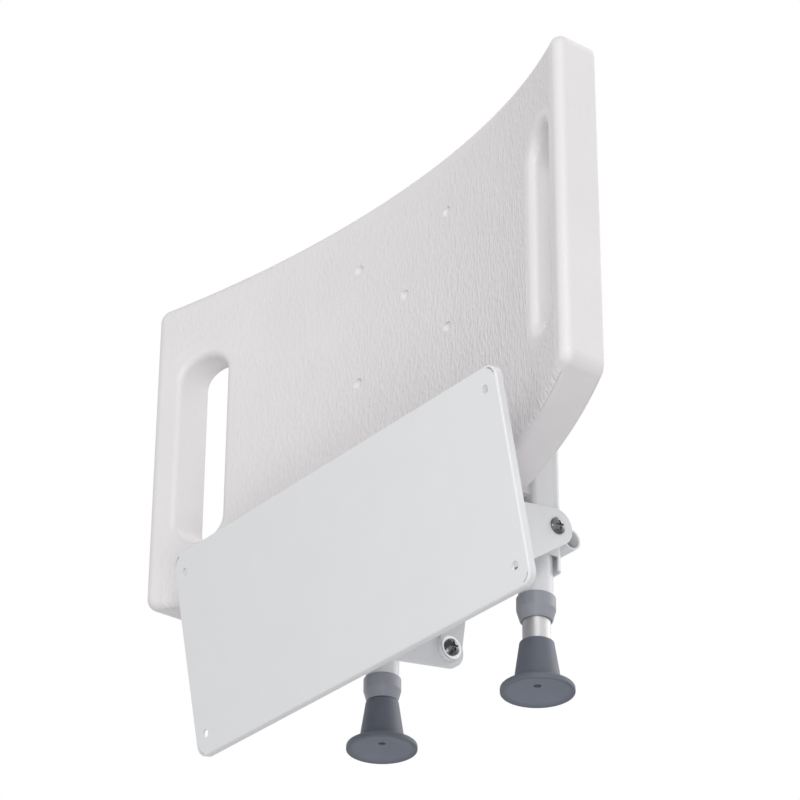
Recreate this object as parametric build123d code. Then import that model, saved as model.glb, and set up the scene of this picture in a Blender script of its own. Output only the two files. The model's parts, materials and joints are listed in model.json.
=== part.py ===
"""Wall-mounted fold-up shower seat with two telescopic front legs.

World frame: X across the seat, Y out from the wall, Z up, millimetres. The origin is the middle of
the wall plate on its wall face. The seat is modelled folded up, leaning out from the wall.

Seat frame: x across, y outwards (away from the sitting face), z up along the folded seat. Its origin
is the seat hinge axis. Everything that folds is drawn there and then placed by FOLDED.
"""
import os
from math import acos, atan2, cos, degrees, hypot, radians, sin

from build123d import *

# Wall plate: a folded tray of sheet steel, its flanges towards the room
PLATE_WIDTH = 386.0
PLATE_HEIGHT = 163.0
PLATE_DEPTH = 6.0
PLATE_SHEET = 2.0
PLATE_CORNER = 10.0
PLATE_BEND = 1.5
CORNER_SLIT = 1.2
CORNER_SLIT_INSET = 2.2
CORNER_SLIT_SPAN = 55.0
SCREW_INSET_X = 13.0
SCREW_INSET_Z = 16.5
SCREW_HOLE = 6.5

# Seat hinge: axis place and lean of the folded seat
HINGE_OUT = 111.0
HINGE_UP = 2.5
LEAN = 11.0
BRACKET_SHEET = 3.0
BRACKET_LOW = -62.0
BRACKET_HIGH = 20.0
HINGE_LOBE = 14.2

# Stay: the central bracket and the slotted bar that limits the fold
STAY_PIVOT_OUT = 80.0
STAY_PIVOT_UP = -58.5
STAY_BRACKET_LOW = -70.0
STAY_BRACKET_HIGH = 8.0
STAY_LOBE = 14.0
STAY_BRACKET_INNER = 22.0
STAY_BAR_WIDTH = 20.0
STAY_BAR_SHEET = 3.0
STAY_HEAD_WIDTH = 25.0
STAY_SLOT_SIDE_PLAY = 1.8
STAY_SLOT_END_PLAY = 1.5
STAY_GAP = 0.3
SEAT_SWING = 79.0
LEG_SWING = 90.0

# Bolts, nuts and washers
BOLT = 8.0
BOLT_HEAD = 13.0
BOLT_HEAD_HEIGHT = 3.6
RECESS_WIDTH = 1.6
RECESS_SHARE = 0.55
RIM_SHARE = 0.3
RECESS_DEPTH = 1.6
NUT_FLATS = 13.0
NUT_HEIGHT = 4.0
NUT_GAP = 0.3
WASHER_OUTER = 18.0
WASHER_HEIGHT = 0.4
WASHER_GAP = 0.1
RUNNING_FIT = 0.05
SPACER_WALL = 2.5

# Seat arms: sheet channels under the seat, open towards the room
LEG_SPACING = 178.0
ARM_WIDTH = 45.0
ARM_SHEET = 2.5
ARM_BACK = -18.5
ARM_EDGE = 0.0
ARM_LOBE = 12.0
ARM_LENGTH = 235.0
ARM_CORNER = 3.0

# Seat board: dished panel with ribs underneath
SEAT_WIDTH = 506.0
SEAT_FACE = -49.6
SEAT_DISH = 64.5
SEAT_MIDDLE_THICKNESS = 30.0
SEAT_END_THICKNESS = 38.5
SEAT_REAR = 12.5
SEAT_REAR_BOW = 26.0
SEAT_FRONT = 333.0
SEAT_FRONT_BOW = 24.0
SEAT_FRONT_CORNER = 10.0
SEAT_REAR_CORNER = 10.0
SEAT_EDGE_ROUND = 7.0
SEAT_BACK_ROUND = 2.5
SEAT_SKIN = 5.0
SEAT_WALL = 6.0
RIB = 3.5
RIB_COLUMNS = (-142.0, -28.0, 28.0, 142.0)
RIB_ROWS = 4
RAIL = 5.0
RAIL_SPACING = 30.0
SLOT_WIDTH = 37.0
SLOT_LENGTH = 168.0
SLOT_FROM_END = 43.0
SLOT_MIDDLE = 172.5
SLOT_WALL = 5.0
SLOT_DEPTH = 28.0
SLOT_EDGE_ROUND = 6.5
DIMPLE = 9.5
DIMPLE_DEPTH = 2.4
DIMPLE_X = 54.4
DIMPLE_ROWS = (175.0, 278.0)
DIMPLE_MIDDLE_ROW = 230.0
SEAT_SCREW = 5.0
SEAT_SCREW_HEAD = 9.0
SEAT_SCREW_HEAD_HEIGHT = 2.6
SEAT_SCREW_LENGTH = 12.0
SEAT_SCREW_ROWS = (62.0, 128.0, 194.0)
INSERT_OUTER = 7.4
INSERT_LENGTH = 13.0
BOSS_OUTER = 16.0

# Legs: channel, tube, telescopic inner tube, locking collar and foot
LEG_AXIS = 1.0
LEG_TUBE = 25.4
LEG_TUBE_WALL = 1.2
LEG_TUBE_TOP_GAP = 12.0
LEG_TUBE_END = -57.0
CHANNEL_SHEET = 1.6
CHANNEL_FIT = 0.05
CHANNEL_END = -27.5
CHANNEL_TONGUE = 11.0
CHANNEL_LIP = 10.0
CHANNEL_CORNER = 5.0
CHANNEL_LOBE = 12.0
TUBE_RIVET = 5.0
TUBE_RIVET_HEAD = 9.0
TUBE_RIVET_HEAD_HEIGHT = 2.0
TUBE_RIVET_ABOVE_GUIDE = 12.4
TUBE_RIVET_BELOW_TOP = 27.0
CROSS_TUBE = 16.0
CROSS_TUBE_WALL = 1.5
CROSS_TUBE_ROW = 1.0
CROSS_TUBE_OVERHANG = 15.0
STAY_ROD = 10.0
STAY_ROD_DROP = 15.4
STAY_ROD_OVERHANG = 14.0
BUSH_WALL = 1.25
BUSH_LENGTH = 30.0
BUSH_FLANGE = 2.0
COLLAR_OUTER = 28.6
COLLAR_TOP = -47.2
COLLAR_BOTTOM = -66.0
COLLAR_GAP = 0.1
COLLAR_LIP_GAP = 0.4
COLLAR_TOP_ROUND = 1.2
COLLAR_TAPER = 8.5
COLLAR_TAPER_ROUND = 2.0
COLLAR_END = 23.6
COLLAR_END_ROUND = 0.8
INNER_WALL = 1.5
INNER_LENGTH = 190.0
GUIDE_LENGTH = 12.0
GUIDE_STUD = 12.0
FOOT_HEIGHT = 39.0
FOOT_BASE = 53.4
FOOT_FLANGE = 5.0
FOOT_FLANGE_ROUND = 2.0
FOOT_RIM_ROUND = 0.9
FOOT_WAIST = 35.0
FOOT_FLARE = 6.0
FOOT_TOP = 24.8
FOOT_TOP_ROUND = 1.5
FOOT_SOCKET = 28.0
FOOT_DISH = 49.0
FOOT_DISH_DEPTH = 5.4
FOOT_VENT = 5.5
FOOT_DISC_HEIGHT = 2.0
FOOT_CLEARANCE = 0.4
RIGHT_LEG_OUT = 16.0
LEFT_LEG_OUT = 0.0

# Places worked out from the sizes above
SCREW_X = PLATE_WIDTH / 2 - SCREW_INSET_X
SCREW_Z = PLATE_HEIGHT / 2 - SCREW_INSET_Z
SLOT_X = SEAT_WIDTH / 2 - SLOT_FROM_END
LEG_X = LEG_SPACING / 2
BOLT_R = BOLT / 2
ARM_HALF = ARM_WIDTH / 2
ARM_INSIDE = ARM_HALF - ARM_SHEET
EAR_INSIDE = ARM_HALF + WASHER_HEIGHT + WASHER_GAP
EAR_OUTSIDE = EAR_INSIDE + BRACKET_SHEET
TUBE_R = LEG_TUBE / 2
TUBE_BORE_R = TUBE_R - LEG_TUBE_WALL
CHANNEL_INSIDE = TUBE_R + CHANNEL_FIT
CHANNEL_HALF = CHANNEL_INSIDE + CHANNEL_SHEET
BUSH_BORE_R = TUBE_BORE_R - BUSH_WALL
INNER_R = BUSH_BORE_R - RUNNING_FIT
INNER_BORE_R = INNER_R - INNER_WALL
CROSS_TUBE_OUT = LEG_AXIS + CHANNEL_HALF + CROSS_TUBE / 2
STAY_ROD_OUT = LEG_AXIS + CHANNEL_HALF + STAY_ROD / 2
STAY_ROD_ROW = ARM_LENGTH - STAY_ROD_DROP
STAY_EAR_INSIDE = STAY_BRACKET_INNER / 2
STAY_EAR_OUTSIDE = STAY_EAR_INSIDE + BRACKET_SHEET
STAY_BAR_INSIDE = STAY_EAR_OUTSIDE + STAY_GAP
STAY_BAR_OUTSIDE = STAY_BAR_INSIDE + STAY_BAR_SHEET
FOOT_BASE_AT_REST = COLLAR_BOTTOM - FOOT_CLEARANCE - FOOT_HEIGHT
INNER_TUBE_FOOT = FOOT_HEIGHT - FOOT_SOCKET + FOOT_DISC_HEIGHT
GUIDE_TOP_AT_REST = FOOT_BASE_AT_REST + INNER_TUBE_FOOT + INNER_LENGTH + GUIDE_LENGTH
LEG_TUBE_TOP = ARM_LENGTH - LEG_TUBE_TOP_GAP
TUBE_RIVET_ROWS = (GUIDE_TOP_AT_REST + TUBE_RIVET_ABOVE_GUIDE + TUBE_RIVET / 2,
                   LEG_TUBE_TOP - TUBE_RIVET_BELOW_TOP)
SIDES = {"right": 1, "left": -1}
SAME_SIZE = 0.001

FOLDED = Location((0, HINGE_OUT, HINGE_UP), (-LEAN, 0, 0))


def rod_x(y, z, radius, x_from, x_to):
    """Round bar along X at the given place in the YZ plane."""
    return extrude(Plane.YZ.offset(x_from) * Pos(y, z) * Circle(radius), amount=x_to - x_from)


def sheet_x(face, x_from, x_to):
    """Flat piece of sheet standing in the YZ plane."""
    return extrude(Plane.YZ.offset(x_from) * face, amount=x_to - x_from)


def block(x_range, y_range, z_range):
    """Box between two corners."""
    size = [high - low for low, high in (x_range, y_range, z_range)]
    middle = [(high + low) / 2 for low, high in (x_range, y_range, z_range)]
    return Pos(*middle) * Box(*size)


def turned(profile):
    """Solid of revolution about Z from (radius, height) points."""
    return revolve(make_face(Plane.XZ * Polyline(*profile, close=True)), Axis.Z)


def ring(outer, inner, bottom, top):
    """Round tube about Z."""
    return turned([(inner, bottom), (outer, bottom), (outer, top), (inner, top)])


def rims(solid, radius):
    """Round edges of a turned solid at one radius, lowest first."""
    circles = solid.edges().filter_by(GeomType.CIRCLE).sort_by(Axis.Z)
    return [edge for edge in circles if abs(edge.radius - radius) < SAME_SIZE]


def group(pieces):
    """Separate solids kept together in one node."""
    return Compound([solid for piece in pieces for solid in piece.solids()])


def both_sides(piece):
    """The piece and its mirror image on the other side of the seat."""
    return [piece, mirror(piece, about=Plane.YZ)]


def tangent_point(outside, centre, radius, turn):
    """Where a line from an outside point touches a circle, on the side given by turn."""
    along = atan2(outside[1] - centre[1], outside[0] - centre[0])
    swing = acos(radius / hypot(outside[0] - centre[0], outside[1] - centre[1]))
    angle = along + turn * swing
    return (centre[0] + radius * cos(angle), centre[1] + radius * sin(angle))


def gusset(centre, lobe, base, low, high):
    """Bracket ear: a lobe round the pivot, with straight edges that spread to its base."""
    touch_low = tangent_point((base, low), centre, lobe, 1)
    touch_high = tangent_point((base, high), centre, lobe, -1)
    web = make_face(Polyline((base, low), touch_low, centre, touch_high, (base, high), close=True))
    return web + Pos(*centre) * Circle(lobe)


def dome(radius, height):
    """Round head standing on z = 0: a low dome on a short straight rim."""
    rim = height * RIM_SHARE
    ball = ((height - rim) ** 2 + radius ** 2) / (2 * (height - rim))
    head = Cylinder(radius, height, align=(Align.CENTER, Align.CENTER, Align.MIN))
    return head & Pos(0, 0, height - ball) * Sphere(ball)


def pan_head(radius, height):
    """Domed head with a cross recess, standing on z = 0."""
    length = 2 * radius * RECESS_SHARE
    bar = Box(length, RECESS_WIDTH, 2 * RECESS_DEPTH)
    return dome(radius, height) - Pos(0, 0, height) * (bar + Rot(0, 0, 90) * bar)


def pan_bolt(length):
    """Bolt with its head above z = 0 and its shank below."""
    shank = Cylinder(BOLT_R, length, align=(Align.CENTER, Align.CENTER, Align.MAX))
    return pan_head(BOLT_HEAD / 2, BOLT_HEAD_HEIGHT) + shank


def hex_nut():
    """Nut standing on z = 0, bored to the bolt."""
    nut = extrude(RegularPolygon(NUT_FLATS / 2, 6, major_radius=False), amount=NUT_HEIGHT)
    return nut - Cylinder(BOLT_R, 4 * NUT_HEIGHT)


def facing_x(direction):
    """Placement that turns +Z to +X or -X."""
    return Rot(0, 90 * direction, 0)


# Wall unit

def corner_slit():
    """Curved slit through the sheet where two flanges of the plate meet, about the corner's own centre."""
    path = CenterArc((0, 0), PLATE_CORNER - CORNER_SLIT_INSET, 45 - CORNER_SLIT_SPAN / 2, CORNER_SLIT_SPAN)
    return extrude(Plane.XZ * SlotArc(path, CORNER_SLIT), amount=PLATE_DEPTH, both=True)


def wall_plate():
    half_x, half_z = PLATE_WIDTH / 2, PLATE_HEIGHT / 2
    tray = block((-half_x, half_x), (0, PLATE_DEPTH), (-half_z, half_z))
    tray = fillet(tray.edges().filter_by(Axis.Y), PLATE_CORNER)
    tray = fillet(tray.faces().sort_by(Axis.Y)[0].edges(), PLATE_BEND)
    inner_x, inner_z = half_x - PLATE_SHEET, half_z - PLATE_SHEET
    inside = block((-inner_x, inner_x), (PLATE_SHEET, 2 * PLATE_DEPTH), (-inner_z, inner_z))
    tray -= fillet(inside.edges().filter_by(Axis.Y), PLATE_CORNER - PLATE_SHEET)
    hole = Pos(SCREW_X, 0, SCREW_Z) * Cylinder(SCREW_HOLE / 2, 4 * PLATE_DEPTH, rotation=(90, 0, 0))
    slit = Pos(half_x - PLATE_CORNER, 0, half_z - PLATE_CORNER) * corner_slit()
    for cut in both_sides(hole) + both_sides(slit):
        tray = tray - cut - mirror(cut, about=Plane.XY)
    return tray


def folded_bracket(ear, inside, low, high, sides):
    """Ears on the given sides of the base that carries them, resting on the plate, centred on x = 0."""
    outside = inside + BRACKET_SHEET
    bracket = block((-outside, outside), (PLATE_SHEET, PLATE_SHEET + BRACKET_SHEET), (low, high))
    for side in sides:
        bracket += sheet_x(ear, *sorted((side * inside, side * outside)))
    return bracket


def hinge_bracket():
    ear = gusset((HINGE_OUT, HINGE_UP), HINGE_LOBE, PLATE_SHEET, BRACKET_LOW, BRACKET_HIGH)
    bracket = folded_bracket(ear, EAR_INSIDE, BRACKET_LOW, BRACKET_HIGH, (-1, 1))
    bracket -= rod_x(HINGE_OUT, HINGE_UP, BOLT_R, -EAR_OUTSIDE, EAR_OUTSIDE)
    return Pos(LEG_X, 0, 0) * bracket


def stay_bracket():
    ear = gusset((STAY_PIVOT_OUT, STAY_PIVOT_UP), STAY_LOBE, PLATE_SHEET, STAY_BRACKET_LOW, STAY_BRACKET_HIGH)
    bracket = folded_bracket(ear, STAY_EAR_INSIDE, STAY_BRACKET_LOW, STAY_BRACKET_HIGH, (1,))
    return bracket - rod_x(STAY_PIVOT_OUT, STAY_PIVOT_UP, BOLT_R, -STAY_EAR_OUTSIDE, STAY_EAR_OUTSIDE)


def hinge_fasteners():
    """Four bolts, nuts and washers: one set for each ear of the two hinge brackets."""
    nut_face = ARM_INSIDE - NUT_GAP
    length = EAR_OUTSIDE - nut_face + NUT_HEIGHT
    bolts, nuts, washers = [], [], []
    for side in (-1, 1):
        at_axis = Pos(LEG_X, HINGE_OUT, HINGE_UP)
        bolts.append(at_axis * Pos(side * EAR_OUTSIDE, 0, 0) * facing_x(side) * pan_bolt(length))
        nuts.append(at_axis * Pos(side * nut_face, 0, 0) * facing_x(-side) * hex_nut())
        washer = ring(WASHER_OUTER / 2, BOLT_R, 0, WASHER_HEIGHT)
        washers.append(at_axis * Pos(side * EAR_INSIDE, 0, 0) * facing_x(-side) * washer)
    return [group([copy for piece in kind for copy in both_sides(piece)]) for kind in (bolts, nuts, washers)]


def stay_fasteners():
    """One bolt through the stay bar and its ear, with a nut and a washer under the head."""
    at_axis = Pos(0, STAY_PIVOT_OUT, STAY_PIVOT_UP)
    washer_inside = STAY_BAR_OUTSIDE + STAY_GAP
    washer_outside = washer_inside + WASHER_HEIGHT
    length = washer_outside - STAY_EAR_INSIDE + NUT_HEIGHT
    bolt = at_axis * Pos(washer_outside, 0, 0) * facing_x(1) * pan_bolt(length)
    nut = at_axis * Pos(STAY_EAR_INSIDE, 0, 0) * facing_x(-1) * hex_nut()
    washer = at_axis * facing_x(1) * ring(WASHER_OUTER / 2, BOLT_R, washer_inside, washer_outside)
    return bolt, nut, washer


# Stay

def stay_rod_place(opening):
    """World place of the stay rod, with the seat opened by a share from 0 to 1."""
    seat_lean = radians(LEAN + opening * SEAT_SWING)
    leg_lean = radians(LEAN + opening * (SEAT_SWING - LEG_SWING))
    pivot_y = HINGE_OUT + ARM_LENGTH * sin(seat_lean) + LEG_AXIS * cos(seat_lean)
    pivot_z = HINGE_UP + ARM_LENGTH * cos(seat_lean) - LEG_AXIS * sin(seat_lean)
    offset = CHANNEL_HALF + STAY_ROD / 2
    return (pivot_y - STAY_ROD_DROP * sin(leg_lean) + offset * cos(leg_lean),
            pivot_z - STAY_ROD_DROP * cos(leg_lean) - offset * sin(leg_lean))


def stay_reach(opening):
    """Distance from the stay pivot to the rod, and the lean of that line from the vertical."""
    rod_y, rod_z = stay_rod_place(opening)
    out, up = rod_y - STAY_PIVOT_OUT, rod_z - STAY_PIVOT_UP
    return hypot(out, up), degrees(atan2(out, up))


def stay_bar():
    reaches = [stay_reach(step / 20)[0] for step in range(21)]
    rod_r = STAY_ROD / 2
    near, far = min(reaches) - STAY_SLOT_END_PLAY, max(reaches) + STAY_SLOT_END_PLAY
    head_r = STAY_HEAD_WIDTH / 2
    shape = Pos(0, far / 2) * Rectangle(STAY_BAR_WIDTH, far) + Circle(STAY_BAR_WIDTH / 2)
    shape += Pos(0, (near + far) / 2) * Rectangle(STAY_HEAD_WIDTH, far - near)
    shape += Pos(0, near) * Circle(head_r) + Pos(0, far) * Circle(head_r)
    slot_r = rod_r + STAY_SLOT_SIDE_PLAY
    shape -= Pos(0, (near + far) / 2) * Rectangle(2 * slot_r, far - near)
    shape -= Pos(0, near) * Circle(slot_r) + Pos(0, far) * Circle(slot_r)
    shape -= Circle(BOLT_R + RUNNING_FIT)
    lean = stay_reach(0)[1]
    face = Pos(STAY_PIVOT_OUT, STAY_PIVOT_UP) * Rot(0, 0, -lean) * shape
    return sheet_x(face, STAY_BAR_INSIDE, STAY_BAR_OUTSIDE)


# Seat, drawn in the seat frame

def arc_across(middle, ends):
    """Arc across the seat, from its left end to its right end."""
    half = SEAT_WIDTH / 2
    return ThreePointArc((-half, ends), (0, middle), (half, ends))


def line_across(height):
    """Straight line across the seat, from its left end to its right end."""
    half = SEAT_WIDTH / 2
    return Line((-half, height), (half, height))


def between(face, back):
    """Everything between a curve on the sitting side and one on the back, from rear to front."""
    section = make_face([face, Line(face @ 1, back @ 1), back, Line(back @ 0, face @ 0)])
    return Pos(0, 0, SEAT_REAR) * extrude(section, amount=SEAT_FRONT - SEAT_REAR)


def through_seat(face):
    """A plan outline carried right through the seat."""
    return extrude(Plane.XZ * face, amount=SEAT_WIDTH, both=True)


def seat_plan():
    """Outline in plan: bowed front and rear edges with rounded corners."""
    half = SEAT_WIDTH / 2
    rear_end = SEAT_REAR + SEAT_REAR_BOW
    front_end = SEAT_FRONT - SEAT_FRONT_BOW
    rear = ThreePointArc((-half, rear_end), (0, SEAT_REAR), (half, rear_end))
    front = ThreePointArc((half, front_end), (0, SEAT_FRONT), (-half, front_end))
    plan = make_face([rear, Line(rear @ 1, front @ 0), front, Line(front @ 1, rear @ 0)])
    plan = fillet(plan.vertices().sort_by(Axis.Y)[:2], SEAT_REAR_CORNER)
    return fillet(plan.vertices().sort_by(Axis.Y)[-2:], SEAT_FRONT_CORNER)


def hand_slots(grow):
    """Plan outlines of the two hand slots, widened all round."""
    width, length = SLOT_WIDTH + 2 * grow, SLOT_LENGTH + 2 * grow
    slot = Rot(0, 0, 90) * SlotOverall(length, width)
    return [Pos(side * SLOT_X, SLOT_MIDDLE) * slot for side in (-1, 1)]


def screw_places():
    """Where the seat screws go: x and z of each."""
    return [(side * LEG_X, row) for side in (-1, 1) for row in SEAT_SCREW_ROWS]


def arm_seats(inside):
    """Rails and screw bosses under the seat, ending flat where the arms bear on them."""
    rails = []
    rail_end = ARM_LENGTH + ARM_LOBE
    for side in (-1, 1):
        for edge in (-1, 1):
            x = side * LEG_X + edge * RAIL_SPACING / 2
            rails.append(Pos(x, (SEAT_REAR + rail_end) / 2) * Rectangle(RAIL, rail_end - SEAT_REAR))
    bosses = [Pos(x, z) * Circle(BOSS_OUTER / 2) for x, z in screw_places()]
    posts = Part() + [through_seat(face) for face in rails + bosses]
    top = arc_across(SEAT_FACE + SEAT_SKIN / 2, SEAT_FACE - SEAT_DISH + SEAT_SKIN / 2)
    return posts & between(top, line_across(ARM_BACK)) & inside


def broad_faces(board):
    """The sitting face of the plain board and the face behind it."""
    return board.faces().sort_by(SortBy.AREA)[-2:].sort_by(Axis.Y)


def slot_rims(board):
    """Edges where the hand slots open on the sitting face."""
    reach = SLOT_WIDTH / 2 + SAME_SIZE
    return [edge for edge in broad_faces(board)[0].edges() if abs(abs(edge.center().X) - SLOT_X) < reach]


def cap_ball(width, depth):
    """Radius of the ball that dents a flat face by the given width and depth."""
    return (width ** 2 / 4 + depth ** 2) / (2 * depth)


def dimple(x, z):
    """Ball that dents the sitting face."""
    bend = cap_ball(SEAT_WIDTH, SEAT_DISH)
    face = SEAT_FACE - bend + (bend ** 2 - x ** 2) ** 0.5
    ball = cap_ball(DIMPLE, DIMPLE_DEPTH)
    return Pos(x, face + DIMPLE_DEPTH - ball, z) * Rot(90, 0, 0) * Sphere(ball)


def seat_board():
    sitting = arc_across(SEAT_FACE, SEAT_FACE - SEAT_DISH)
    under = arc_across(SEAT_FACE + SEAT_MIDDLE_THICKNESS, SEAT_FACE - SEAT_DISH + SEAT_END_THICKNESS)
    skin = arc_across(SEAT_FACE + SEAT_SKIN, SEAT_FACE - SEAT_DISH + SEAT_SKIN)
    slot_end = arc_across(SEAT_FACE + SLOT_DEPTH, SEAT_FACE - SEAT_DISH + SLOT_DEPTH)
    plan = seat_plan()
    board = between(sitting, under) & through_seat(plan)
    board = fillet(broad_faces(board)[0].edges(), SEAT_EDGE_ROUND)
    board = fillet(broad_faces(board)[1].edges(), SEAT_BACK_ROUND)
    for slot in hand_slots(0):
        board -= through_seat(slot)
    board = fillet(slot_rims(board), SLOT_EDGE_ROUND)
    inside = through_seat(offset(plan, amount=-SEAT_WALL))
    pocket = between(skin, line_across(SEAT_WIDTH)) & inside
    for x in RIB_COLUMNS:
        pocket -= through_seat(Pos(x, SEAT_FRONT / 2) * Rectangle(RIB, 2 * SEAT_FRONT))
    pitch = (SEAT_FRONT - SEAT_REAR) / (RIB_ROWS + 1)
    row_length = RIB_COLUMNS[-1] - RIB_COLUMNS[0]
    for row in range(1, RIB_ROWS + 1):
        pocket -= through_seat(Pos(0, SEAT_REAR + row * pitch) * Rectangle(row_length, RIB))
    below_slots = between(slot_end, line_across(SEAT_WIDTH))
    for slot in hand_slots(SLOT_WALL):
        pocket -= through_seat(slot)
        board -= through_seat(slot) & below_slots
    seats = arm_seats(inside)
    board = board - pocket + seats
    for x, z in screw_places():
        board -= Pos(x, ARM_BACK, z) * Rot(90, 0, 0) * Cylinder(INSERT_OUTER / 2, 2 * INSERT_LENGTH)
    board -= dimple(0, DIMPLE_MIDDLE_ROW)
    for row in DIMPLE_ROWS:
        for ball in both_sides(dimple(DIMPLE_X, row)):
            board -= ball
    return board


def seat_arm():
    arm = block((-ARM_HALF, ARM_HALF), (ARM_BACK, ARM_EDGE), (0, ARM_LENGTH))
    arm = fillet(arm.edges().filter_by(Axis.Z).sort_by(Axis.Y)[:2], ARM_CORNER)
    web_face = ARM_BACK + ARM_SHEET
    arm -= block((-ARM_INSIDE, ARM_INSIDE), (web_face, web_face + ARM_WIDTH), (-ARM_LENGTH, 2 * ARM_LENGTH))
    lobes = Circle(ARM_LOBE) + Pos(LEG_AXIS, ARM_LENGTH) * Circle(ARM_LOBE)
    for side in (-1, 1):
        arm += sheet_x(lobes, *sorted((side * ARM_INSIDE, side * ARM_HALF)))
    arm -= rod_x(0, 0, BOLT_R + RUNNING_FIT, -ARM_HALF, ARM_HALF)
    arm -= rod_x(LEG_AXIS, ARM_LENGTH, BOLT_R, -ARM_HALF, ARM_HALF)
    for row in SEAT_SCREW_ROWS:
        arm -= Pos(0, ARM_BACK, row) * Rot(90, 0, 0) * Cylinder(SEAT_SCREW / 2, 4 * ARM_SHEET)
    return Pos(LEG_X, 0, 0) * arm


def seat_fasteners():
    """Screws from the arms into threaded inserts in the seat board."""
    head = pan_head(SEAT_SCREW_HEAD / 2, SEAT_SCREW_HEAD_HEIGHT)
    length = ARM_SHEET + SEAT_SCREW_LENGTH
    screw = head + Cylinder(SEAT_SCREW / 2, length, align=(Align.CENTER, Align.CENTER, Align.MAX))
    insert = ring(INSERT_OUTER / 2, SEAT_SCREW / 2, 0, INSERT_LENGTH)
    screws = [Pos(x, ARM_BACK + ARM_SHEET, z) * Rot(-90, 0, 0) * screw for x, z in screw_places()]
    inserts = [Pos(x, ARM_BACK, z) * Rot(90, 0, 0) * insert for x, z in screw_places()]
    return group(screws), group(inserts)


def leg_pivot_fasteners():
    """A bolt, a nut and two spacers where each leg hangs between the flanges of its arm."""
    at_axis = Pos(LEG_X, LEG_AXIS, ARM_LENGTH)
    bolt = at_axis * Pos(ARM_HALF, 0, 0) * facing_x(1) * pan_bolt(ARM_WIDTH + NUT_HEIGHT)
    nut = at_axis * Pos(-ARM_HALF, 0, 0) * facing_x(-1) * hex_nut()
    spacer = facing_x(1) * ring(BOLT_R + SPACER_WALL, BOLT_R, CHANNEL_HALF + WASHER_GAP, ARM_INSIDE)
    spacers = [at_axis * spacer, at_axis * mirror(spacer, about=Plane.YZ)]
    return (group(both_sides(bolt)), group(both_sides(nut)),
            group([copy for piece in spacers for copy in both_sides(piece)]))


# Leg frame, drawn in the seat frame

def leg_channel():
    lip = LEG_AXIS - CHANNEL_LIP
    length = (CHANNEL_END, ARM_LENGTH)
    channel = block((-CHANNEL_HALF, CHANNEL_HALF), (lip, LEG_AXIS + CHANNEL_HALF), length)
    channel = fillet(channel.edges().filter_by(Axis.Z).sort_by(Axis.Y)[-2:], CHANNEL_CORNER)
    inside = block((-CHANNEL_INSIDE, CHANNEL_INSIDE), (lip, LEG_AXIS + CHANNEL_INSIDE), length)
    channel -= fillet(inside.edges().filter_by(Axis.Z).sort_by(Axis.Y)[-2:], CHANNEL_CORNER - CHANNEL_SHEET)
    walls = (lip, LEG_AXIS + CHANNEL_HALF - CHANNEL_CORNER)
    channel -= block((-CHANNEL_HALF, CHANNEL_HALF), walls, (CHANNEL_END, CHANNEL_END + CHANNEL_TONGUE))
    lobe = Pos(LEG_AXIS, ARM_LENGTH) * Circle(CHANNEL_LOBE)
    for side in (-1, 1):
        channel += sheet_x(lobe, *sorted((side * CHANNEL_INSIDE, side * CHANNEL_HALF)))
    channel -= rod_x(LEG_AXIS, ARM_LENGTH, BOLT_R + RUNNING_FIT, -CHANNEL_HALF, CHANNEL_HALF)
    for row in TUBE_RIVET_ROWS:
        channel -= rod_x(LEG_AXIS, row, TUBE_RIVET / 2, -CHANNEL_HALF, CHANNEL_HALF)
    return Pos(LEG_X, 0, 0) * channel


def leg_tube():
    tube = ring(TUBE_R, TUBE_BORE_R, LEG_TUBE_END, LEG_TUBE_TOP)
    for row in TUBE_RIVET_ROWS:
        tube -= rod_x(0, row, TUBE_RIVET / 2, -TUBE_R, TUBE_R)
    return Pos(LEG_X, LEG_AXIS, 0) * tube


def tube_rivets():
    """Rivets that hold each leg tube in its channel."""
    head = dome(TUBE_RIVET_HEAD / 2, TUBE_RIVET_HEAD_HEIGHT)
    rivets = []
    for row in TUBE_RIVET_ROWS:
        rivet = rod_x(0, 0, TUBE_RIVET / 2, -CHANNEL_HALF, CHANNEL_HALF)
        for side in (-1, 1):
            rivet += Pos(side * CHANNEL_HALF, 0, 0) * facing_x(side) * head
        rivets += both_sides(Pos(LEG_X, LEG_AXIS, row) * rivet)
    return group(rivets)


def cross_tube():
    end = LEG_X + CROSS_TUBE_OVERHANG
    tube = rod_x(CROSS_TUBE_OUT, CROSS_TUBE_ROW, CROSS_TUBE / 2, -end, end)
    return tube - rod_x(CROSS_TUBE_OUT, CROSS_TUBE_ROW, CROSS_TUBE / 2 - CROSS_TUBE_WALL, -end, end)


def stay_rod():
    end = LEG_X + STAY_ROD_OVERHANG
    return rod_x(STAY_ROD_OUT, STAY_ROD_ROW, STAY_ROD / 2, -end, end)


def tube_bush():
    """Flanged plastic bush in the lower end of the leg tube."""
    sleeve = ring(TUBE_BORE_R, BUSH_BORE_R, LEG_TUBE_END, LEG_TUBE_END + BUSH_LENGTH)
    flange = ring(TUBE_R, BUSH_BORE_R, LEG_TUBE_END - BUSH_FLANGE, LEG_TUBE_END)
    return Pos(LEG_X, LEG_AXIS, 0) * (sleeve + flange)


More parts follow.
